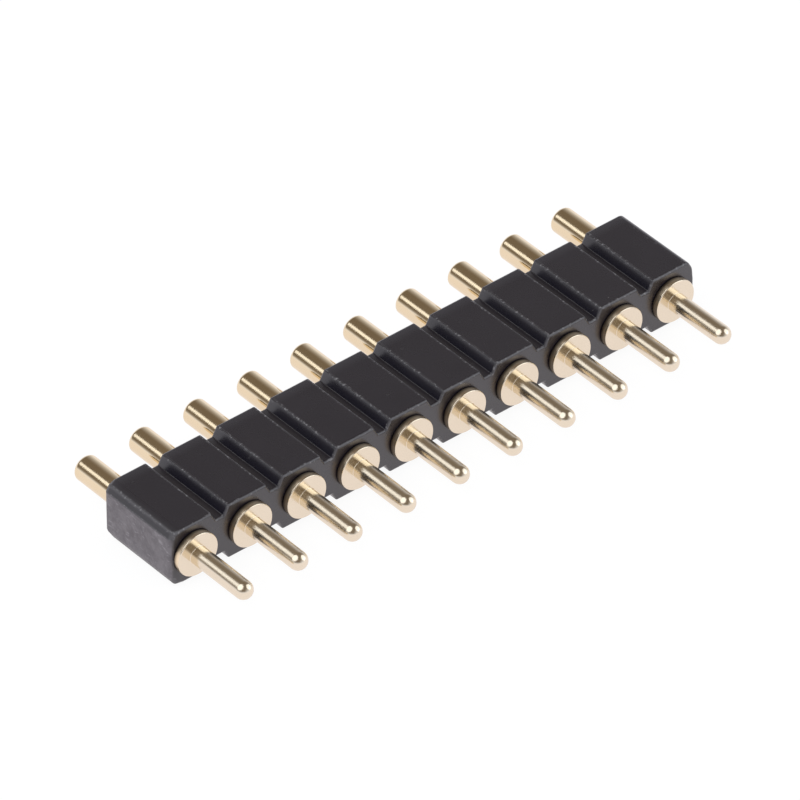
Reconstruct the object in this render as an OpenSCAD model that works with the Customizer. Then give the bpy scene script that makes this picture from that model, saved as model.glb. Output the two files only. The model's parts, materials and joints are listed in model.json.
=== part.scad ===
// Single-row connector with spring-loaded contacts, lying on its flat side.
// X runs along the row, the solder tails point to -Y and the plungers to +Y.
// The origin is on the resting face, below the first contact and halfway through the bar.

/* [Contact row] */
// Number of contacts in the row
positions = 10; // [2:1:19]
// Distance from one contact to the next
pitch = 2.54; // [2.1:0.01:5.08]

/* [Insulator] */
// Height of the moulded bar
insulator_h = 2.48; // [1.95:0.01:4]
// Depth of the moulded bar, along the contacts
insulator_d = 3.84; // [3:0.01:8]
// Width of a break-off groove at the surface
groove_mouth_w = 0.78; // [0.4:0.01:0.95]
// Width of a break-off groove at its floor
groove_floor_w = 0.34; // [0.2:0.01:0.38]
// Depth of a break-off groove
groove_depth = 0.39; // [0.1:0.01:0.45]
// Distance of the sawn left end from the middle of its groove
saw_inset = 0.22; // [0.18:0.01:0.36]
// How far the snapped web at the right end stands past the groove wall
snap_stub = 0.05; // [0.02:0.01:0.2]
// Height over which the snapped web rounds off, above and below
snap_crown_h = 0.52; // [0.1:0.01:0.8]

/* [Barrels] */
// Wall of the barrel around the spring
barrel_wall = 0.12; // [0.08:0.01:0.3]
// Thickness of the closed floor behind the spring, inside the bar
barrel_floor_t = 0.15; // [0.1:0.01:0.6]
// Length of the rolled mouth that retains the plunger
mouth_lip_l = 0.2; // [0.1:0.01:0.4]
// How far the rolled mouth stands out of the bar
mouth_proud = 0.05; // [0.02:0.01:0.4]
// Radius on the outer edge of the rolled mouth
mouth_round = 0.05; // [0.02:0.01:0.08]
// How far the flange stands out past the barrel, all round
flange_rim = 0.16; // [0.08:0.01:0.2]
// Thickness of the flange
flange_t = 0.31; // [0.15:0.01:0.8]
// Chamfer on the front edge of the flange
flange_chamfer = 0.03; // [0.01:0.01:0.06]
// Diameter of the solder tail
tail_d = 0.76; // [0.4:0.01:1]
// Length of the solder tail from the flange, round nose included
tail_l = 2.92; // [1.5:0.01:6]
// Fillet where the tail meets the flange
tail_fillet = 0.06; // [0.02:0.01:0.1]
// Length of the ring that grips the bar
press_ring_l = 0.3; // [0.1:0.01:0.6]
// Distance of the grip ring from the flange
press_ring_offset = 0.5; // [0.2:0.01:1]

/* [Plungers] */
// Diameter of the plunger shaft
plunger_d = 1.07; // [0.7:0.01:1.3]
// Length of the plunger that stands out of the bar when it is not pressed
plunger_out = 2.44; // [1.6:0.01:5]
// Radius on the free end of the plunger
plunger_round = 0.12; // [0.04:0.01:0.3]
// How far the retaining collar stands out past the shaft, all round
collar_rim = 0.075; // [0.05:0.005:0.15]
// Length of the retaining collar
collar_l = 0.5; // [0.2:0.01:0.8]

/* [Springs] */
// Diameter of the spring wire
wire_d = 0.13; // [0.08:0.01:0.14]
// Number of open turns
open_turns = 6.5; // [4:0.5:7]
// Number of closed turns at each end
closed_turns = 1; // [1:0.5:1.5]

/* [Fits] */
// Radial clearance of the shaft in the mouth and of the collar in the barrel
running_gap = 0.02; // [0.01:0.005:0.05]
// Radial clearance of the barrel in the bar
seat_gap = 0.01; // [0.005:0.005:0.03]
// Radial bite of the grip ring into the bar
press_bite = 0.02; // [0.005:0.005:0.03]
// Radial clearance of the spring inside the barrel
spring_gap = 0.08; // [0.04:0.01:0.1]
// Clearance between the collar and the rolled mouth, and at both ends of the spring
end_gap = 0.01; // [0.005:0.005:0.02]

/* [Hidden] */
$fn = 64;

// Past every surface that a cut has to break through
overcut = 1;
// Sides of the spring wire, and its rings in one turn
wire_sides = 5;
rings_per_turn = 10;

// Radii, each worked out from the piece inside it
collar_r = plunger_d / 2 + collar_rim;
bore_r = collar_r + running_gap;
barrel_r = bore_r + barrel_wall;
seat_r = barrel_r + seat_gap;
flange_r = barrel_r + flange_rim;
mouth_r = plunger_d / 2 + running_gap;
tail_r = tail_d / 2;
coil_r = bore_r - spring_gap - wire_d / 2;

// Stations along a contact, from the middle of the bar towards the plunger
bar_front = -insulator_d / 2;
bar_back = insulator_d / 2;
flange_face = bar_front - flange_t;
tail_tip = flange_face - tail_l;
cavity_floor = bar_front + barrel_floor_t;
mouth_end = bar_back + mouth_proud;
lip_start = mouth_end - mouth_lip_l;
collar_front = lip_start - end_gap;
collar_back = collar_front - collar_l;
plunger_tip = bar_back + plunger_out;
spring_start = cavity_floor + end_gap;
spring_end = collar_back - end_gap;

// The bar ends: sawn through a groove on the left, snapped off along a groove on the right
groove_lean = (groove_mouth_w - groove_floor_w) / 2;
row_start = -pitch / 2;
row_end = (positions - 1 / 2) * pitch;
saw_x = row_start + saw_inset;
saw_cut_depth = groove_depth * (groove_mouth_w / 2 - saw_inset) / groove_lean;
snap_wall_x = row_end - groove_floor_w / 2;
snap_x = snap_wall_x + snap_stub;

// Place of contact i along the row
function contact_x(i) = (i - 1) * pitch;

// Groove outline between contacts i and i + 1, seen from the front, opening upwards
function groove_points(i) =
    let (x = contact_x(i) + pitch / 2)
    [
        [x - groove_mouth_w / 2, insulator_h],
        [x - groove_floor_w / 2, insulator_h - groove_depth],
        [x + groove_floor_w / 2, insulator_h - groove_depth],
        [x + groove_mouth_w / 2, insulator_h]
    ];

// Upper half of the bar's outline, from left to right
function upper_outline() = concat(
    [
        [saw_x, insulator_h - saw_cut_depth],
        [row_start + groove_mouth_w / 2, insulator_h]
    ],
    [for (i = [1 : positions - 1]) each groove_points(i)],
    [
        [row_end - groove_mouth_w / 2, insulator_h],
        [snap_wall_x, insulator_h - groove_depth],
        [snap_x, insulator_h - groove_depth - snap_crown_h]
    ]
);

// The lower half is the upper one mirrored, from right to left
function lower_outline() =
    let (upper = upper_outline(), last = len(upper) - 1)
    [for (k = [last : -1 : 0]) [upper[k][0], insulator_h - upper[k][1]]];

// Turns a contact's own Z axis onto the row's +Y and puts it in place i
module at_contact(i) {
    translate([contact_x(i), 0, insulator_h / 2]) rotate([-90, 0, 0]) children();
}

// Square stretch of a turned profile from station z0 to z1, out to radius r
module turned(r, z0, z1) {
    translate([0, z0]) square([r, z1 - z0]);
}

// Half profile of a barrel: tail, flange, pressed body and rolled mouth
module barrel_profile() {
    intersection() {
        translate([0, tail_tip + tail_r]) circle(tail_r);
        turned(tail_r, tail_tip, tail_tip + tail_r);
    }
    turned(tail_r, tail_tip + tail_r, flange_face);
    difference() {
        turned(tail_r + tail_fillet, flange_face - tail_fillet, flange_face);
        translate([tail_r + tail_fillet, flange_face - tail_fillet]) circle(tail_fillet);
    }
    polygon([
        [0, flange_face],
        [flange_r - flange_chamfer, flange_face],
        [flange_r, flange_face + flange_chamfer],
        [flange_r, bar_front],
        [0, bar_front]
    ]);
    turned(barrel_r, bar_front, mouth_end - mouth_round);
    turned(barrel_r - mouth_round, mouth_end - mouth_round, mouth_end);
    translate([barrel_r - mouth_round, mouth_end - mouth_round]) circle(mouth_round);
    press_ring_profile();
}

// Grip ring, with a lead-in slope on both sides
module press_ring_profile() {
    ring_start = bar_front + press_ring_offset;
    ring_r = seat_r + press_bite;
    slope_l = (ring_r - barrel_r) * 2;
    polygon([
        [0, ring_start],
        [barrel_r, ring_start],
        [ring_r, ring_start + slope_l],
        [ring_r, ring_start + press_ring_l - slope_l],
        [barrel_r, ring_start + press_ring_l],
        [0, ring_start + press_ring_l]
    ]);
}

// Half profile of a plunger: collar, shaft and rounded free end
module plunger_profile() {
    shaft_r = plunger_d / 2;
    turned(collar_r, collar_back, collar_front);
    turned(shaft_r, collar_back, plunger_tip - plunger_round);
    turned(shaft_r - plunger_round, plunger_tip - plunger_round, plunger_tip);
    translate([shaft_r - plunger_round, plunger_tip - plunger_round]) circle(plunger_round);
}

// Spring wire centre line: height of the wire after t turns, closed turns at each end
turns = open_turns + 2 * closed_turns;
closed_pitch = wire_d * 1.05;
coil_span = spring_end - spring_start - wire_d;
open_pitch = (coil_span - 2 * closed_turns * closed_pitch) / open_turns;
function wire_height(t) =
    closed_pitch * min(t, closed_turns)
    + open_pitch * min(max(t - closed_turns, 0), open_turns)
    + closed_pitch * max(t - closed_turns - open_turns, 0);

// One ring of points round the wire after t turns
function wire_ring(t) = [
    for (s = [0 : wire_sides - 1])
        let (
            around = 360 * s / wire_sides,
            r = coil_r + wire_d / 2 * cos(around),
            z = spring_start + wire_d / 2 + wire_height(t) + wire_d / 2 * sin(around)
        )
        [r * cos(360 * t), r * sin(360 * t), z]
];

module spring_coil() {
    rings = ceil(turns * rings_per_turn);
    points = [for (k = [0 : rings]) each wire_ring(turns * k / rings)];
    sides = [
        for (k = [0 : rings - 1], s = [0 : wire_sides - 1])
            let (next = (s + 1) % wire_sides)
            [
                k * wire_sides + s,
                (k + 1) * wire_sides + s,
                (k + 1) * wire_sides + next,
                k * wire_sides + next
            ]
    ];
    start_cap = [for (s = [0 : wire_sides - 1]) s];
    end_cap = [for (s = [wire_sides - 1 : -1 : 0]) rings * wire_sides + s];
    polyhedron(points, concat(sides, [start_cap, end_cap]));
}

module insulator() {
    color([0.13, 0.13, 0.14]) difference() {
        translate([0, bar_back, 0]) rotate([90, 0, 0])
            linear_extrude(insulator_d) polygon(concat(upper_outline(), lower_outline()));
        for (i = [1 : positions])
            at_contact(i) translate([0, 0, bar_front - overcut])
                cylinder(r = seat_r, h = insulator_d + 2 * overcut);
    }
}

module barrel(i) {
    color([0.86, 0.7, 0.45]) at_contact(i) rotate_extrude() difference() {
        barrel_profile();
        turned(bore_r, cavity_floor, lip_start);
        turned(mouth_r, lip_start, mouth_end + overcut);
    }
}

module plunger(i) {
    color([0.9, 0.76, 0.5]) at_contact(i) rotate_extrude() plunger_profile();
}

module spring(i) {
    color([0.72, 0.72, 0.74]) at_contact(i) spring_coil();
}

insulator();
for (i = [1 : positions]) {
    barrel(i);
    plunger(i);
    spring(i);
}
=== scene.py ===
import json

import bpy
import numpy as np
from mathutils import Matrix, Vector


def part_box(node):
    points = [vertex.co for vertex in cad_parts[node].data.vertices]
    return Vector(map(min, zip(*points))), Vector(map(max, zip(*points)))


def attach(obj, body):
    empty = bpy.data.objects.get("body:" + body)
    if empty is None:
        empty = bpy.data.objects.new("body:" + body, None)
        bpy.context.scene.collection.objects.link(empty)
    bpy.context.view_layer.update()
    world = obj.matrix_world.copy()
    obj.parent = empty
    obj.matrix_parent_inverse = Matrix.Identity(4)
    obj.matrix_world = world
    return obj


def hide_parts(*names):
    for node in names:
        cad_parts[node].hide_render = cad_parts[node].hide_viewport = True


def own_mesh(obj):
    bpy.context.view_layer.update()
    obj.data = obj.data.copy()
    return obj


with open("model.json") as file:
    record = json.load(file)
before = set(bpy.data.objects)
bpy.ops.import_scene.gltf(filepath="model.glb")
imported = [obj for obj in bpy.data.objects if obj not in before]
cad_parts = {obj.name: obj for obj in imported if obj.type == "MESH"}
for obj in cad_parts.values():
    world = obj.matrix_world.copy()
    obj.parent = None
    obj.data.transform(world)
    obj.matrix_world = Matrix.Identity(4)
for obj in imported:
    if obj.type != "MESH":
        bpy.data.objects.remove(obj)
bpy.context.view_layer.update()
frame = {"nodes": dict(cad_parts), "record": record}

mm = 0.001


# --- Moulded bar --------------------------------------------------------------------------
# One bar of black glass-filled thermoplastic with trapezoid break-off grooves across its top
# and underside. It is moulded as a long polished strip, which was sawn through a groove on the
# left and snapped off along a groove on the right. The contacts are pressed into its bores.

bar_low, bar_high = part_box("insulator")
contact_count = sum(name.startswith("barrel_") for name in frame["nodes"])
contact_numbers = range(1, contact_count + 1)


def box_middle(node):
    """Middle of a CAD node's box."""
    low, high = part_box(node)
    return (low + high) / 2


contact_x = [box_middle(f"plunger_{i}").x for i in contact_numbers]
axis_z = box_middle("plunger_1").z
pitch = contact_x[1] - contact_x[0]

groove_mouth = 0.78 * mm
groove_floor = 0.34 * mm
groove_depth = 0.39 * mm
groove_lean = (groove_mouth - groove_floor) / 2
bore_radius = 0.76 * mm

# Roundings of the outline's bends, of the rims round the two faces, and of the bores' mouths.
corner_round = 0.035 * mm
rear_corner_round = 0.07 * mm
groove_fillet = 0.04 * mm
face_rim = 0.10 * mm
bore_round = 0.03 * mm

# The sawn end: the groove's side is rubbed lower than it was moulded, and most underneath.
saw_front_rim = 0.19 * mm
saw_rear_rim = 0.25 * mm
saw_rub = 0.08 * mm
saw_blend = 0.35 * mm
saw_droop = 0.01 * mm
saw_slope = 0.96
saw_top_round = 0.10 * mm
saw_foot_round = 0.32 * mm
saw_blend_round = 1.0 * mm

# The snapped end: a bulge below the groove, with its bends from the bar's top to half height.
snap_crown = 0.52 * mm
snap_rounds = [0.28 * mm, 0.50 * mm, 0.30 * mm]

# Edges are rubbed, and carry a painted highlight line, within this reach of a bend whose turn
# has a sine below the given one. The sides' normals lean back by the tilt over this last
# stretch before the rear rim.
wear_and_highlight_reach = 0.05 * mm
wear_and_highlight_bend = -0.3
sink_reach = 0.5 * mm
sink_tilt = 0.10

# Chains have a stop at least every step, and stops nearer than the least gap are one. Points
# in the same cell, of so many to the metre, are welded.
sample_step = 0.07 * mm
least_gap = 1e-9
least_radius = 0.001 * mm
arc_steps = 6
bore_sides = 64
web_rows = 14
weld_cells = 1e8


def unit(vectors):
    """Each vector divided by its length."""
    return vectors / np.linalg.norm(vectors, axis=-1, keepdims=True)


def cross(first, second):
    """Z component of the cross product of plane vectors."""
    return first[..., 0] * second[..., 1] - first[..., 1] * second[..., 0]


def rounded(corners, radii):
    """Points and left-hand normals of an open chain whose inner corners are arcs.
    An arc of radius r leaves both sides at r / tan(half angle) from the corner, about a centre
    at r / sin(half angle) on the bisector, and turns the side's normal with it."""
    corners, radii = np.array(corners, float), np.array(radii, float)[:, None]
    along = unit(np.diff(corners, axis=0))
    bend = np.arctan2(cross(along[:-1], along[1:]), (along[:-1] * along[1:]).sum(1))
    inner, half = corners[1:-1], (np.pi - np.abs(bend))[:, None] / 2
    centre = inner + unit(along[1:] - along[:-1]) * radii / np.sin(half)
    arm = inner - along[:-1] * radii / np.tan(half) - centre
    turn = bend[:, None] * np.linspace(0, 1, arc_steps + 1)
    cos, sin = np.cos(turn), np.sin(turn)
    sides = np.stack([-along[:, 1], along[:, 0]], -1)

    def spun(vectors):
        """One vector a bend, turned by each step of it."""
        x, y = vectors[:, :1], vectors[:, 1:]
        return np.stack([cos * x - sin * y, sin * x + cos * y], -1)

    points = (centre[:, None] + spun(arm)).reshape(-1, 2)
    normals = spun(sides[:-1]).reshape(-1, 2)
    return (
        np.vstack([corners[:1], points, corners[-1:]]),
        np.vstack([sides[:1], normals, sides[-1:]]),
    )


def distances(points):
    """Distance of each point of a chain along it from its start."""
    return np.concatenate([[0], np.cumsum(np.linalg.norm(np.diff(points, axis=0), axis=1))])


def even_stops(points):
    """Fractional indices along a chain: every point of it, and enough others between them that
    no stretch is longer than the sample step."""
    along = distances(points)
    stops = np.union1d(along, np.linspace(0, along[-1], int(along[-1] / sample_step) + 2))
    stops = stops[np.concatenate([[True], np.diff(stops) > least_gap])]
    return np.interp(stops, along, np.arange(len(along)))


class Outline:
    """An open chain of corners with rounded bends, and a rim radius at each corner. A corner is
    drawn in along its mitre, the sum of its two sides' normals over 1 + their product. The mask
    of wear and painted highlight is 1 on the outer bends and falls evenly to 0 within reach of
    them."""

    def __init__(self, corners, radii, rims, stops=None):
        self.corners, self.radii, self.rims = (np.array(a, float) for a in (corners, radii, rims))
        along = unit(np.diff(self.corners, axis=0))
        side = np.stack([-along[:, 1], along[:, 0]], -1)
        mitre = (side[:-1] + side[1:]) / (1 + (side[:-1] * side[1:]).sum(1))[:, None]
        self.mitre = np.vstack([side[:1], mitre, side[-1:]])
        bend = cross(along[:-1], along[1:])
        self.convex = -np.sign(bend)
        points, normals = rounded(self.corners, self.radii)
        self.stops = even_stops(points) if stops is None else stops
        self.normals = unit(self.at_stops(normals))

        # The rims go along the chain as its points do. The gap to a bend is 0 or less on its arc.
        bends = np.repeat(self.rims[1:-1], arc_steps + 1)
        rim = np.concatenate([self.rims[:1], bends, self.rims[-1:]])
        self.rim = self.at_stops(rim[:, None])[:, 0]
        along = distances(points)
        stop = np.interp(self.stops, np.arange(len(along)), along)[:, None]
        first = 1 + (arc_steps + 1) * np.arange(len(self.convex))
        gap = np.maximum(along[first] - stop, stop - along[first + arc_steps])
        gap = np.where(bend < wear_and_highlight_bend, gap, wear_and_highlight_reach)
        self.wear_and_highlight = np.clip(1 - gap.min(1) / wear_and_highlight_reach, 0, 1)

    def at_stops(self, values):
        """Values of the rounded chain carried to its evenly spaced stops."""
        index = np.arange(len(values))
        return np.stack([np.interp(self.stops, index, column) for column in values.T], -1)

    def inset(self, part):
        """Points of the chain drawn in by a part of the rim radius, its bends kept concentric."""
        corners = self.corners - self.mitre * (self.rims * part)[:, None]
        radii = self.radii - self.convex * self.rims[1:-1] * part
        return self.at_stops(rounded(corners, np.maximum(radii, least_radius))[0])


def cell_outline(k, at_rear=False, underneath=False, stops=None):
    """Top outline over contact k, from the middle of the groove on its left to the one on its
    right, or from or to half the height of a cut end. The saw meets the groove's side at a
    depth that grows evenly from 0 at the groove's mouth."""
    x, top = contact_x[k], bar_high.z
    left, right = x - pitch / 2, x + pitch / 2
    floor = top - groove_depth
    left_foot, left_mouth = left + groove_floor / 2, left + groove_mouth / 2
    right_mouth, right_foot = right - groove_mouth / 2, right - groove_floor / 2
    left_corners = [(left, floor), (left_foot, floor), (left_mouth, top)]
    right_corners = [(right_mouth, top), (right_foot, floor), (right, floor)]
    edge_round = rear_corner_round if at_rear or underneath else corner_round
    left_radii, right_radii = [groove_fillet, edge_round], [edge_round, groove_fillet]
    left_rims, right_rims = [face_rim] * 3, [face_rim] * 3
    if k == 0:
        saw_x, saw_rim = bar_low.x, saw_rear_rim if at_rear else saw_front_rim
        rubbed_x = left_mouth + (saw_rub if underneath else 0)
        saw_depth = saw_slope * groove_depth * (rubbed_x - saw_x) / groove_lean
        left_corners = [(saw_x, axis_z), (saw_x, top - saw_depth), (rubbed_x, top - saw_droop)]
        left_corners.append((rubbed_x + saw_blend, top))
        left_radii = [saw_foot_round if underneath else saw_top_round, edge_round, saw_blend_round]
        left_rims = [saw_rim, saw_rim, saw_rim, face_rim]
    if k == contact_count - 1:
        right_corners[2:] = [(bar_high.x, floor - snap_crown), (bar_high.x, axis_z)]
        right_radii = snap_rounds
        right_rims = [face_rim] * 4
    corners, radii = left_corners + right_corners, left_radii + right_radii
    return Outline(corners, radii, left_rims + right_rims, stops)


def mirrored(points):
    """Outline points turned over to the underside, running from right to left."""
    return np.stack([points[::-1, 0], 2 * axis_z - points[::-1, 1]], -1)


class Surface:
    """Points, normals, UVs and faces of grids, gathered into one mesh."""

    def __init__(self):
        self.points, self.normals, self.uvs, self.faces, self.count = [], [], [], [], 0

    def grid(self, points, normals, uvs=None):
        """Adds a rows x columns grid of points as quads."""
        rows, columns = points.shape[:2]
        index = self.count + np.arange(rows * columns).reshape(rows, columns)
        quads = [index[:-1, :-1], index[:-1, 1:], index[1:, 1:], index[1:, :-1]]
        self.points.append(points.reshape(-1, 3))
        self.normals.append(np.broadcast_to(normals, points.shape).reshape(-1, 3))
        self.uvs.append(np.zeros((rows * columns, 2)) if uvs is None else uvs.reshape(-1, 2))
        self.faces.append(np.stack(quads, -1).reshape(-1, 4))
        self.count += rows * columns

    def piece(self, name, node, body, material):
        """Welds equal points, drops collapsed faces, turns every face towards the sum of its
        corners' normals, and makes the object that replaces a CAD node."""
        points, normals, uvs = (np.concatenate(a) for a in (self.points, self.normals, self.uvs))
        quads = np.concatenate(self.faces)
        triangles = np.vstack([quads[:, [0, 1, 2]], quads[:, [0, 2, 3]]])
        _, first, weld = np.unique(
            np.round(points * weld_cells).astype(np.int64),
            axis=0,
            return_index=True,
            return_inverse=True,
        )
        weld = weld.reshape(-1)[triangles]
        whole = (
            (weld[:, 0] != weld[:, 1]) & (weld[:, 1] != weld[:, 2]) & (weld[:, 2] != weld[:, 0])
        )
        weld, triangles = weld[whole], triangles[whole]
        corners = points[first][weld]
        facing = np.cross(corners[:, 1] - corners[:, 0], corners[:, 2] - corners[:, 0])
        inside_out = (facing * normals[triangles].sum(1)).sum(1) < 0
        weld[inside_out] = weld[inside_out][:, ::-1]
        triangles[inside_out] = triangles[inside_out][:, ::-1]
        mesh = bpy.data.meshes.new(name)
        mesh.from_pydata(points[first], [], weld)
        mesh.uv_layers.new(name="Places").data.foreach_set("uv", uvs[triangles].ravel())
        mesh.polygons.foreach_set("use_smooth", np.ones(len(weld), bool))
        mesh.normals_split_custom_set(normals[triangles].reshape(-1, 3))
        mesh.materials.append(material)
        made = bpy.data.objects.new(name, mesh)
        bpy.context.scene.collection.objects.link(made)
        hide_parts(node)
        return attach(made, body)


def rim_profile():
    """Inset, depth and the face's and the side's share of the normal on a quarter-round rim of
    radius 1: 1 - sin, 1 - cos, cos and sin of the turn from the face to the side."""
    turn = np.linspace(0, np.pi / 2, arc_steps + 1)
    return 1 - np.sin(turn), 1 - np.cos(turn), np.cos(turn), np.sin(turn)


def in_depth(flat, y):
    """Points of the XZ plane set at a depth y."""
    return np.stack([flat[..., 0], np.broadcast_to(y, flat.shape[:-1]), flat[..., 1]], -1)


def bar_skin(surface, front, rear, underneath):
    """Outer skin over one contact: the front outline ruled back to the rear one, and both drawn
    in round the rims. Towards the rear the normals lean back a little, as on a side that sank
    while it cooled. U is the mask of the edges' wear and painted highlight, from 0 to 1; it
    also peaks in the middle of every rim's rounding."""
    inset, depth, face_part, side_part = rim_profile()
    rows, depths, facing, wear_and_highlight_rows = [], [], [], []
    ends = ((front, bar_low.y, 1, 0), (rear, bar_high.y, -1, sink_tilt))
    for outline, face_y, sign, tilt in ends:
        normals, rim, wear_and_highlight = outline.normals, outline.rim, outline.wear_and_highlight
        rim_rows = [outline.inset(part) for part in inset]
        if underneath:
            normals, rim, wear_and_highlight = normals[::-1] * [1, -1], rim[::-1], wear_and_highlight[::-1]
            rim_rows = [mirrored(row) for row in rim_rows]
        rim_rows = np.stack(rim_rows)
        outward = tilt + (1 - tilt) * face_part
        rim_facing = in_depth(normals[None] * side_part[:, None, None], -sign * outward[:, None])
        # The middle of each rim's rounding takes the painted highlight line, besides the bends'
        # wear.
        rim_wear_and_highlight = np.maximum(wear_and_highlight * side_part[:, None], 2 * (face_part * side_part)[:, None])
        uvs = np.stack([rim_wear_and_highlight, 0 * rim_wear_and_highlight], -1)
        rim_y = face_y + sign * depth[:, None] * rim
        surface.grid(in_depth(rim_rows, rim_y), unit(rim_facing), uvs)
        rows.append(rim_rows[-1])
        depths.append(face_y + sign * rim)
        facing.append(rim_facing[-1])
        wear_and_highlight_rows.append(uvs[-1])

    # One more row before the rear rim, where the lean begins, still has the front's normals.
    sink = sink_reach / (bar_high.y - bar_low.y)
    for values in (rows, depths, wear_and_highlight_rows):
        values.insert(1, values[0] * sink + values[1] * (1 - sink))
    facing.insert(1, facing[0])
    sides = in_depth(np.stack(rows), np.stack(depths))
    surface.grid(sides, unit(np.stack(facing)), np.stack(wear_and_highlight_rows))


def bar_cell(surface, loops, centre):
    """Both faces round one bore, ruled along rays from the bore's mouth to the cell's loop, and
    the bore: a circle carried from face to face, with a quarter-round mouth at each. The bore's
    sides are even and the rays aren't, so at the mouth the two meet within a micron, unwelded."""
    angle = np.linspace(0, 2 * np.pi, bore_sides + 1)
    angle[-1] = 0
    ring = np.stack([np.cos(angle), np.sin(angle)], -1)
    inset, depth, face_part, side_part = rim_profile()
    for loop, face_y, sign in zip(loops, (bar_low.y, bar_high.y), (1, -1)):
        ray = unit(loop - centre)
        mouth = centre + ray * (bore_radius + bore_round)
        surface.grid(in_depth(np.stack([mouth, loop]), face_y), np.array([0, -sign, 0]))
        rows = centre + ring[None] * (bore_radius + bore_round * inset)[:, None, None]
        facing = in_depth(-ring[None] * side_part[:, None, None], -sign * face_part[:, None])
        surface.grid(in_depth(rows, face_y + sign * bore_round * depth[:, None]), facing)
    wall_y = np.array([bar_low.y + bore_round, bar_high.y - bore_round])
    wall = np.broadcast_to(centre + ring * bore_radius, (2, *ring.shape))
    surface.grid(in_depth(wall, wall_y[:, None]), in_depth(np.stack([-ring, -ring]), 0.0))


class Field:
    """A node socket that carries a value over a surface. Python's operators add Math nodes."""

    def __init__(self, graph, socket):
        self.graph, self.socket = graph, socket

    def maths(self, operation, *values):
        """One Math node on fields and numbers."""
        inputs = dict(enumerate(values))
        return self.graph.node("ShaderNodeMath", {"operation": operation}, inputs)[0]

    def __add__(self, other):
        return self.maths("ADD", self, other)

    def __sub__(self, other):
        return self.maths("SUBTRACT", self, other)

    def __rsub__(self, other):
        return self.maths("SUBTRACT", other, self)

    def __mul__(self, other):
        return self.maths("MULTIPLY", self, other)

    def __truediv__(self, other):
        return self.maths("DIVIDE", self, other)

    def __pow__(self, other):
        return self.maths("POWER", self, other)

    __radd__ = __add__
    __rmul__ = __mul__


class Outputs:
    """The outputs of one node, by name or number, as fields."""

    def __init__(self, graph, node):
        self.graph, self.made = graph, node

    def __getitem__(self, key):
        return Field(self.graph, self.made.outputs[key])


class Graph:
    """The node tree of a material or of the world."""

    def __init__(self, owner):
        owner.use_nodes = True
        owner.node_tree.nodes.clear()
        self.tree = owner.node_tree

    def node(self, kind, settings=None, inputs=None):
        """Adds one node, makes its settings, then fills or links its sockets."""
        made = self.tree.nodes.new(kind)
        for key, value in (settings or {}).items():
            setattr(made, key, value)
        for key, value in (inputs or {}).items():
            if isinstance(value, Field):
                self.tree.links.new(value.socket, made.inputs[key])
            else:
                made.inputs[key].default_value = value
        return Outputs(self, made)

    def noise(self, vector, scale, detail=2.0, roughness=0.5):
        """Noise from 0 to 1 with a number of waves to the vector's unit."""
        inputs = {"Vector": vector, "Scale": scale, "Detail": detail, "Roughness": roughness}
        return self.node("ShaderNodeTexNoise", {}, inputs)["Fac"]

    def between(self, value, low, high, to_low=0.0, to_high=1.0, smooth=True):
        """A value carried from one range to another, and held at its ends. Smooth follows
        3t^2 - 2t^3, where t is the share of the first range, and else it follows t."""
        settings = {"interpolation_type": "SMOOTHSTEP" if smooth else "LINEAR", "clamp": True}
        inputs = {0: value, 1: low, 2: high, 3: to_low, 4: to_high}
        return self.node("ShaderNodeMapRange", settings, inputs)[0]

    def blend(self, factor, first, second):
        """Colour between two colours, each a field or its red, green and blue. The Mix node's
        sockets 6 and 7 are its two colours, and its output 2 is the colour between."""
        first, second = (c if isinstance(c, Field) else (*c, 1) for c in (first, second))
        inputs = {0: factor, 6: first, 7: second}
        return self.node("ShaderNodeMix", {"data_type": "RGBA"}, inputs)[2]

    def bump(self, height, distance, normal=None):
        """Normal tilted by a height field, whose full height is a distance in metres."""
        inputs = {"Height": height, "Distance": distance, "Strength": 1.0}
        if normal is not None:
            inputs["Normal"] = normal
        return self.node("ShaderNodeBump", {}, inputs)["Normal"]

    def principled(self, inputs):
        """Ends a material in one Principled shader."""
        shader = self.node("ShaderNodeBsdfPrincipled", {}, inputs)[0]
        self.node("ShaderNodeOutputMaterial", {}, {"Surface": shader})


snap_foot = contact_x[-1] + (pitch - groove_floor) / 2
saw_bevel = 0.27 * mm
skin_deep, skin_pale = (0.0062, 0.0055, 0.0125), (0.0098, 0.0086, 0.0165)
scuff_grey, dust_grey = (0.06, 0.058, 0.062), (0.16, 0.15, 0.155)
# The first grey is for rubbed edges and for the painted highlight line along them.
rubbed_and_highlight_grey, chip_grey = (0.22, 0.215, 0.225), (0.36, 0.34, 0.365)
torn_deep, torn_pale = (0.070, 0.060, 0.073), (0.145, 0.130, 0.145)


def broken_faces(graph, x, z, ragged):
    """1 on the sawn face, between the bevels that the groove left above and below it, and on the
    snapped face, past the foot of the last groove's side. 0 elsewhere, with ragged borders."""
    from_axis = graph.node("ShaderNodeMath", {"operation": "ABSOLUTE"}, {0: z - axis_z})[0]
    half_cut = bar_high.z - axis_z - saw_bevel
    height = graph.between(from_axis + ragged, half_cut + 0.02 * mm, half_cut - 0.03 * mm)
    sawn = graph.between(x, bar_low.x + 0.15 * mm, bar_low.x + 0.06 * mm) * height
    snapped = graph.between(x + ragged, snap_foot - 0.02 * mm, snap_foot + 0.03 * mm)
    return graph.node("ShaderNodeClamp", {}, {0: sawn + snapped})[0]


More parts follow.
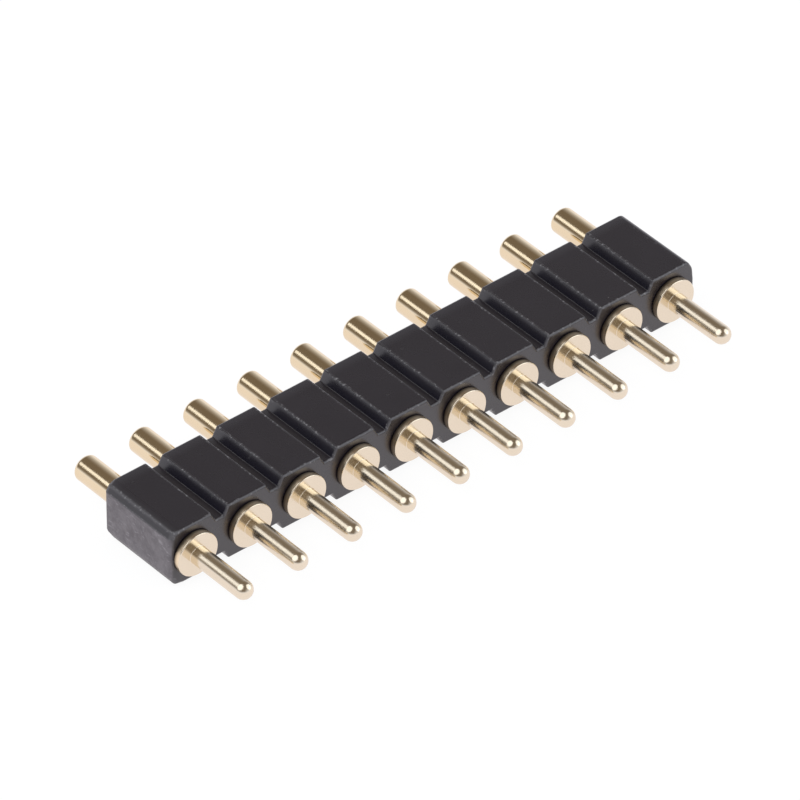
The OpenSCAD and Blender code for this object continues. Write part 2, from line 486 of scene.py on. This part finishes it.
def black_plastic():
    """Semi-gloss moulded faces with a faint flow mottle, a little dust and a few scuffs. Edges
    are rubbed pale in specks, most of all round the sawn end and not beside the snapped one,
    and carry a faint, even painted highlight line along their roundings.
    Where the strip was sawn and snapped it is rough, scratched and paler, most at the foot."""
    material = bpy.data.materials.new("black_thermoplastic")
    graph = Graph(material)
    place = graph.node("ShaderNodeTexCoord")["Object"]
    parts = graph.node("ShaderNodeSeparateXYZ", {}, {0: place})
    x, z = parts["X"], parts["Z"]
    flow = graph.noise(place, 700.0, 3.0)
    grain = graph.noise(place, 9000.0, 3.0)
    blotch = graph.noise(place, 2400.0, 3.0, 0.6)
    ragged = (grain - 0.5) * (0.05 * mm) + (blotch - 0.5) * (0.10 * mm)
    broken = broken_faces(graph, x, z, ragged)

    places = graph.node("ShaderNodeUVMap", {"uv_map": "Places"})["UV"]
    wear_and_highlight = graph.node("ShaderNodeSeparateXYZ", {}, {0: places})["X"]
    handled = graph.between(x, bar_low.x + 0.5 * mm, bar_low.x + 0.3 * mm)
    # The even 0.08 share paints a faint highlight line along every edge; the specks and the
    # handled end are rubbed pale.
    wear_and_highlight = wear_and_highlight * (0.08 + handled * 0.15 + graph.between(grain, 0.55, 0.68) * 0.75)
    wear_and_highlight = wear_and_highlight * (1 - broken) * graph.between(x, snap_foot - 0.36 * mm, snap_foot - 0.46 * mm)
    scuffs = graph.between(blotch, 0.68, 0.76)
    dust = graph.between(graph.noise(place, 5200.0, 1.0), 0.78, 0.82)
    skin = graph.blend(flow, skin_deep, skin_pale)
    skin = graph.blend(scuffs * 0.25, skin, scuff_grey)
    skin = graph.blend(dust * 0.4, skin, dust_grey)
    skin = graph.blend(wear_and_highlight, skin, rubbed_and_highlight_grey)

    along_saw = graph.node("ShaderNodeMapping", {}, {"Vector": place, "Scale": (1.0, 0.3, 1.0)})[0]
    scratches = graph.between(graph.noise(along_saw, 11000.0, 2.0), 0.60, 0.72)
    lift = graph.between(z, axis_z, bar_low.z + 0.1 * mm)
    torn = graph.blend(graph.between(blotch, 0.25, 0.75), torn_deep, torn_pale)
    torn = graph.blend(scratches * 0.34 + lift * 0.12, torn, chip_grey)

    roughness = 0.23 + flow * 0.08 + scuffs * 0.1 + wear_and_highlight * 0.3 + handled * 0.15
    relief = graph.bump((grain * 0.35 + flow) * (1 - broken), 0.0008 * mm)
    graph.principled({
        "Base Color": graph.blend(broken, skin, torn),
        "Roughness": roughness * (1 - broken) + broken * (0.42 + grain * 0.2),
        "IOR": 1.83,
        "Normal": graph.bump((grain + blotch) * broken, 0.02 * mm, relief),
    })
    return material


bar = Surface()
web = np.linspace(0, 1, web_rows)[:, None]
for k in range(contact_count):
    over = cell_outline(k)
    over_rear = cell_outline(k, True, False, over.stops)
    under = cell_outline(k, False, True)
    under_rear = cell_outline(k, True, True, under.stops)
    bar_skin(bar, over, over_rear, False)
    bar_skin(bar, under, under_rear, True)
    loops = []
    for above, below in ((over, under), (over_rear, under_rear)):
        above, below = above.inset(1), mirrored(below.inset(1))
        right_web = above[-1] * (1 - web) + below[0] * web
        left_web = below[-1] * (1 - web) + above[0] * web
        loops.append(np.vstack([above, right_web, below, left_web]))
    bar_cell(bar, loops, np.array([contact_x[k], axis_z]))
bar.piece("moulded_bar", "insulator", "row", black_plastic())


# --- Barrels ------------------------------------------------------------------------------
# Contact shells turned from brass rod and plated with pale gold: a flange that stands on the
# circuit board, a bullet-nosed solder tail, and a socket pressed into the bar, whose mouth is
# rolled in over the plunger.

barrel_low, barrel_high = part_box("barrel_1")
tail_mount = next(m for m in frame["record"]["mounts"] if m["name"] == "tail_1")
tail_radius = tail_mount["dims"]["r_mm"] * mm
flange_radius = (barrel_high.x - barrel_low.x) / 2
flange_thickness = 0.31 * mm
flange_face = bar_low.y - flange_thickness
shell_radius = 0.75 * mm
spring_bore = 0.63 * mm
mouth_bore = 0.555 * mm
lip_length = 0.20 * mm
floor_thickness = 0.15 * mm
grip_start = bar_low.y + 0.50 * mm
grip_end = grip_start + 0.30 * mm
grip_slope = 0.04 * mm
deburred = 0.01 * mm
round_sides = 96
barrel_pale, barrel_deep = (0.875, 0.782, 0.632), (0.845, 0.752, 0.592)
# The flange's edge runs from pale at its face to a painted shade of brown at the bar.
edge_pale, flange_shade_brown = (0.93, 0.77, 0.55), (0.20, 0.15, 0.10)


def turned(surface, profile, centre_x):
    """A profile of (y, radius, rounding) corners turned about a contact's axis: each point lies
    at the radius times the cosine and sine of the turn. The two ends are on the axis and their
    roundings aren't used. U runs once round the piece and V along the profile, in millimetres."""
    profile = np.array(profile)
    points, normals = rounded(profile[:, :2], profile[1:-1, 2])
    angle = np.linspace(0, 2 * np.pi, round_sides + 1)
    cos, sin = np.cos(angle), np.sin(angle)
    cos[-1], sin[-1] = cos[0], sin[0]
    ones = np.ones_like(angle)
    across, up = np.outer(points[:, 1], cos), np.outer(points[:, 1], sin)
    place = np.stack([centre_x + across, np.outer(points[:, 0], ones), axis_z + up], -1)
    across, up = np.outer(normals[:, 1], cos), np.outer(normals[:, 1], sin)
    facing = np.stack([across, np.outer(normals[:, 0], ones), up], -1)
    once_round = np.outer(np.ones(len(points)), angle / (2 * np.pi))
    uvs = np.stack([once_round, np.outer(distances(points) / mm, ones)], -1)
    surface.grid(place, facing, uvs)


def gold_plate(name, pale, deep, roughness, ring_depth):
    """Pale hard gold over turned brass, a little cloudy, with fine rings left by the tool round
    each piece. The flange's edge is duller, and painted shade darkens it to brown from its face
    towards the bar, in place of the dark bar mirrored in it."""
    material = bpy.data.materials.new(name)
    graph = Graph(material)
    uv = graph.node("ShaderNodeUVMap", {"uv_map": "Places"})["UV"]
    place = graph.node("ShaderNodeTexCoord")["Object"]
    ringed = graph.node("ShaderNodeMapping", {}, {"Vector": uv, "Scale": (0.6, 26.0, 1.0)})[0]
    rings = graph.noise(ringed, 1.0, 3.0, 0.6)
    cloud = graph.noise(place, 1500.0, 2.0)
    y = graph.node("ShaderNodeSeparateXYZ", {}, {0: place})["Y"]
    dull_and_shaded_flank = graph.between(y, flange_face + 0.02 * mm, flange_face + 0.08 * mm, smooth=False)
    dull_and_shaded_flank = dull_and_shaded_flank * graph.between(y, bar_low.y + 0.03 * mm, bar_low.y, smooth=False)
    # Painted shade: the flange's side darkens towards the bar, standing in for the bar mirrored in
    # it.
    shade_towards_bar = graph.between(y, flange_face + 0.10 * mm, bar_low.y - 0.02 * mm)
    edge = graph.blend(shade_towards_bar, edge_pale, flange_shade_brown)
    graph.principled({
        "Base Color": graph.blend(dull_and_shaded_flank, graph.blend(cloud, deep, pale), edge),
        "Metallic": 1.0,
        "Roughness": roughness + dull_and_shaded_flank * 0.11 + (rings - 0.5) * 0.06 + (cloud - 0.5) * 0.05,
        "Normal": graph.bump(rings, ring_depth),
    })
    return material


barrel_gold = gold_plate("gold_barrel", barrel_pale, barrel_deep, 0.20, 0.0009 * mm)
barrel_profile = [
    (barrel_low.y, 0, 0),
    (barrel_low.y, tail_radius, tail_radius),
    (flange_face, tail_radius, 0.022 * mm),
    (flange_face, flange_radius, 0.04 * mm),
    (bar_low.y, flange_radius, 0.06 * mm),
    (bar_low.y, shell_radius, deburred),
    (grip_start, shell_radius, deburred),
    (grip_start + grip_slope, bore_radius, deburred),
    (grip_end - grip_slope, bore_radius, deburred),
    (grip_end, shell_radius, deburred),
    (barrel_high.y, shell_radius, 0.05 * mm),
    (barrel_high.y, mouth_bore, 0.03 * mm),
    (barrel_high.y - lip_length, mouth_bore, deburred),
    (barrel_high.y - lip_length, spring_bore, deburred),
    (bar_low.y + floor_thickness, spring_bore, 0.05 * mm),
    (bar_low.y + floor_thickness, 0, 0),
]
for i in contact_numbers:
    barrel = Surface()
    turned(barrel, barrel_profile, contact_x[i - 1])
    barrel.piece(f"contact_barrel_{i}", f"barrel_{i}", "row", barrel_gold)


# --- Plungers -----------------------------------------------------------------------------
# Turned brass plungers with a polished gold plate. Each slides in its barrel behind a collar
# that stops against the rolled mouth, and its round-edged free end meets a contact pad.

plunger_low, plunger_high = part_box("plunger_1")
collar_radius = (plunger_high.x - plunger_low.x) / 2
collar_front = plunger_low.y + 0.50 * mm
shaft_radius = 0.535 * mm
plunger_pale, plunger_deep = (0.875, 0.745, 0.535), (0.85, 0.71, 0.485)

plunger_gold = gold_plate("gold_plunger", plunger_pale, plunger_deep, 0.10, 0.0006 * mm)
plunger_profile = [
    (plunger_low.y, 0, 0),
    (plunger_low.y, collar_radius, 0.04 * mm),
    (collar_front, collar_radius, 0.03 * mm),
    (collar_front, shaft_radius, 0.02 * mm),
    (plunger_high.y, shaft_radius, 0.16 * mm),
    (plunger_high.y, 0, 0),
]
for i in contact_numbers:
    plunger = Surface()
    turned(plunger, plunger_profile, contact_x[i - 1])
    body = f"plunger_{i}"
    plunger.piece(f"contact_plunger_{i}", f"plunger_{i}", body, plunger_gold)


# --- Springs ------------------------------------------------------------------------------
# Stainless compression springs hidden in the barrels, with one closed turn at each end. They
# stand on the barrels' floors.

spring_low, spring_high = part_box("spring_1")
wire_radius = 0.065 * mm
coil_clearance = 0.08 * mm
coil_radius = spring_bore - coil_clearance - wire_radius
open_turns, closed_turns = 6.5, 1.0
all_turns = open_turns + 2 * closed_turns
closed_rise = 2.1 * wire_radius
steps_per_turn, wire_sides = 28, 10
steel_deep, steel_pale = (0.50, 0.49, 0.47), (0.66, 0.65, 0.63)


def spring_wire(surface, centre_x):
    """Round wire along a helix about the contact's axis: the wire's centre turns at the coil's
    radius and rises little more than one wire a turn in the closed ends, and evenly over the
    rest of the length between them. Both wire ends close on the wire's centre."""
    turns = np.linspace(0, all_turns, int(all_turns * steps_per_turn) + 1)
    length = spring_high.y - spring_low.y - 2 * wire_radius
    end_rise = closed_turns * closed_rise
    knots = [0, closed_turns, closed_turns + open_turns, all_turns]
    rise = [0, end_rise, length - end_rise, length]
    height = spring_low.y + wire_radius + np.interp(turns, knots, rise)
    turns, height = np.r_[turns[:1], turns, turns[-1:]], np.r_[height[:1], height, height[-1:]]
    thickness = np.full(len(turns), wire_radius)
    thickness[[0, -1]] = 0
    around = np.linspace(0, 2 * np.pi, wire_sides + 1)
    cos, sin = np.cos(around), np.sin(around)
    cos[-1], sin[-1] = cos[0], sin[0]
    radius = coil_radius + thickness[:, None] * cos
    angle = 2 * np.pi * turns[:, None]
    rising = height[:, None] + thickness[:, None] * sin
    points = [centre_x + radius * np.cos(angle), rising, axis_z + radius * np.sin(angle)]
    normals = [cos * np.cos(angle), sin + 0 * angle, cos * np.sin(angle)]
    surface.grid(np.stack(points, -1), np.stack(normals, -1))


def drawn_steel():
    """Bright drawn stainless wire with faint draw streaks."""
    material = bpy.data.materials.new("spring_steel")
    graph = Graph(material)
    streaks = graph.noise(graph.node("ShaderNodeTexCoord")["Object"], 8000.0, 3.0)
    graph.principled({
        "Base Color": graph.blend(streaks, steel_deep, steel_pale),
        "Metallic": 1.0,
        "Roughness": 0.22 + streaks * 0.12,
        "Normal": graph.bump(streaks, 0.0004 * mm),
    })
    return material


steel = drawn_steel()
for i in contact_numbers:
    spring = Surface()
    spring_wire(spring, contact_x[i - 1])
    coil = spring.piece(f"contact_spring_{i}", f"spring_{i}", "row", steel)
    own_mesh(coil)


# --- Studio -------------------------------------------------------------------------------
# A white table, a pale horizon under a dim warm ceiling, and two round softboxes: a large one
# above on the left, and one in front on the right. A long lens looks down from the front left.

table_half = 3.0
paper_white, seen_white, mirrored_white = (0.9, 0.9, 0.9), (1.04, 1.04, 1.04), (0.985, 0.93, 0.945)
glow_share = 0.89


def white_table():
    """Flat white paper. What looks at it or mirrors it sees it evenly lit, with the object's
    shadow kept."""
    material = bpy.data.materials.new("white_table")
    graph = Graph(material)
    path = graph.node("ShaderNodeLightPath")
    seen = path["Is Camera Ray"]
    mirrored = path["Is Glossy Ray"] + path["Is Transmission Ray"]
    paper = graph.node("ShaderNodeBsdfDiffuse", {}, {"Color": (*paper_white, 1)})[0]
    colour = graph.blend(mirrored, seen_white, mirrored_white)
    glow = graph.node("ShaderNodeEmission", {}, {"Color": colour})[0]
    inputs = {0: (seen + mirrored) * glow_share, 1: paper, 2: glow}
    lit = graph.node("ShaderNodeMixShader", {}, inputs)[0]
    graph.node("ShaderNodeOutputMaterial", {}, {"Surface": lit})
    return material


table_corners = np.array([(-1, -1, 0), (1, -1, 0), (1, 1, 0), (-1, 1, 0)]) * table_half
table_mesh = bpy.data.meshes.new("white_table")
table_mesh.from_pydata(table_corners, [], [(0, 1, 2, 3)])
table_mesh.materials.append(white_table())
table = bpy.data.objects.new("white_table", table_mesh)
bpy.context.scene.collection.objects.link(table)


ceiling, horizon = (0.188, 0.152, 0.116), (0.97, 0.975, 1.05)
soft_light, clear_white = (0.58, 0.58, 0.59), (1.0, 1.0, 1.0)
narrow_band, broad_band = 0.17, 0.73


def studio_world():
    """Light by direction, for what mirrors it: a bright band at the horizon under a dim warm
    ceiling. On the left it fades as e to the minus square of the height over the narrow band,
    and on the right as 1 less the height over the broad band, to the power 1.2. The camera sees
    plain white, and diffuse light comes evenly from a mid grey."""
    world = bpy.data.worlds.new("studio")
    graph = Graph(world)
    direction = graph.node("ShaderNodeTexCoord")["Generated"]
    parts = graph.node("ShaderNodeSeparateXYZ", {}, {0: direction})
    x, height = parts["X"], graph.node("ShaderNodeClamp", {}, {0: parts["Z"]})[0]
    fall = height / narrow_band
    narrow = graph.node("ShaderNodeMath", {"operation": "EXPONENT"}, {0: fall * fall * -1.0})[0]
    broad = graph.between(height, 0.0, broad_band, 1.0, 0.0, smooth=False) ** 1.2
    side = graph.between(x, -0.4, 0.2)
    glow = narrow * (1 - side) + broad * side
    studio = graph.blend(glow, ceiling, horizon)
    path = graph.node("ShaderNodeLightPath")
    soft = graph.blend(path["Is Camera Ray"], soft_light, clear_white)
    colour = graph.blend(path["Is Glossy Ray"], soft, studio)
    background = graph.node("ShaderNodeBackground", {}, {"Color": colour})[0]
    graph.node("ShaderNodeOutputWorld", {}, {"Surface": background})
    bpy.context.scene.world = world


studio_world()

row_middle = Vector(((contact_x[0] + contact_x[-1]) / 2, 0, 0))
softbox_distance = 0.35
softbox_tint = (0.94, 0.98, 1.04)


def softbox(name, direction, half_angle, radiance):
    """Round softbox seen from the row under a half angle: its radius is the distance times the
    angle's tangent, and its power is pi times its area times the radiance."""
    lamp = bpy.data.lights.new(name, "AREA")
    lamp.shape = "DISK"
    radius = softbox_distance * np.tan(np.radians(half_angle))
    lamp.size = 2 * radius
    lamp.energy = radiance * np.pi * np.pi * radius ** 2
    lamp.color = softbox_tint
    back = Vector(direction).normalized()
    made = bpy.data.objects.new(name, lamp)
    made.location = row_middle + back * softbox_distance
    made.rotation_euler = back.to_track_quat("Z", "Y").to_euler()
    made.visible_camera = False
    bpy.context.scene.collection.objects.link(made)


softbox("left_softbox", direction=(-0.62, 0.11, 0.78), half_angle=32.5, radiance=1.23)
softbox("right_softbox", direction=(0.63, -0.54, 0.556), half_angle=26, radiance=1.15)

azimuth, elevation = np.radians(-40.055), np.radians(38.814)
camera_distance = 0.35449
shift_left, shift_up = 0.068 * mm, 0.855 * mm
sensor_width, focal_length = 36, 433.67

level = np.cos(elevation)
camera_right = Vector((np.cos(azimuth), np.sin(azimuth), 0))
camera_back = Vector((np.sin(azimuth) * level, -np.cos(azimuth) * level, np.sin(elevation)))
camera_up = camera_back.cross(camera_right)
camera_data = bpy.data.cameras.new("camera")
camera_data.sensor_width = sensor_width
camera_data.lens = focal_length
camera_data.clip_start = 0.01
camera = bpy.data.objects.new("camera", camera_data)
facing_row = Matrix((camera_right, camera_up, camera_back)).transposed().to_4x4()
eye = row_middle + camera_back * camera_distance - camera_right * shift_left + camera_up * shift_up
camera.matrix_world = Matrix.Translation(eye) @ facing_row
bpy.context.scene.collection.objects.link(camera)
bpy.context.scene.camera = camera
bpy.context.scene.view_settings.view_transform = "Standard"
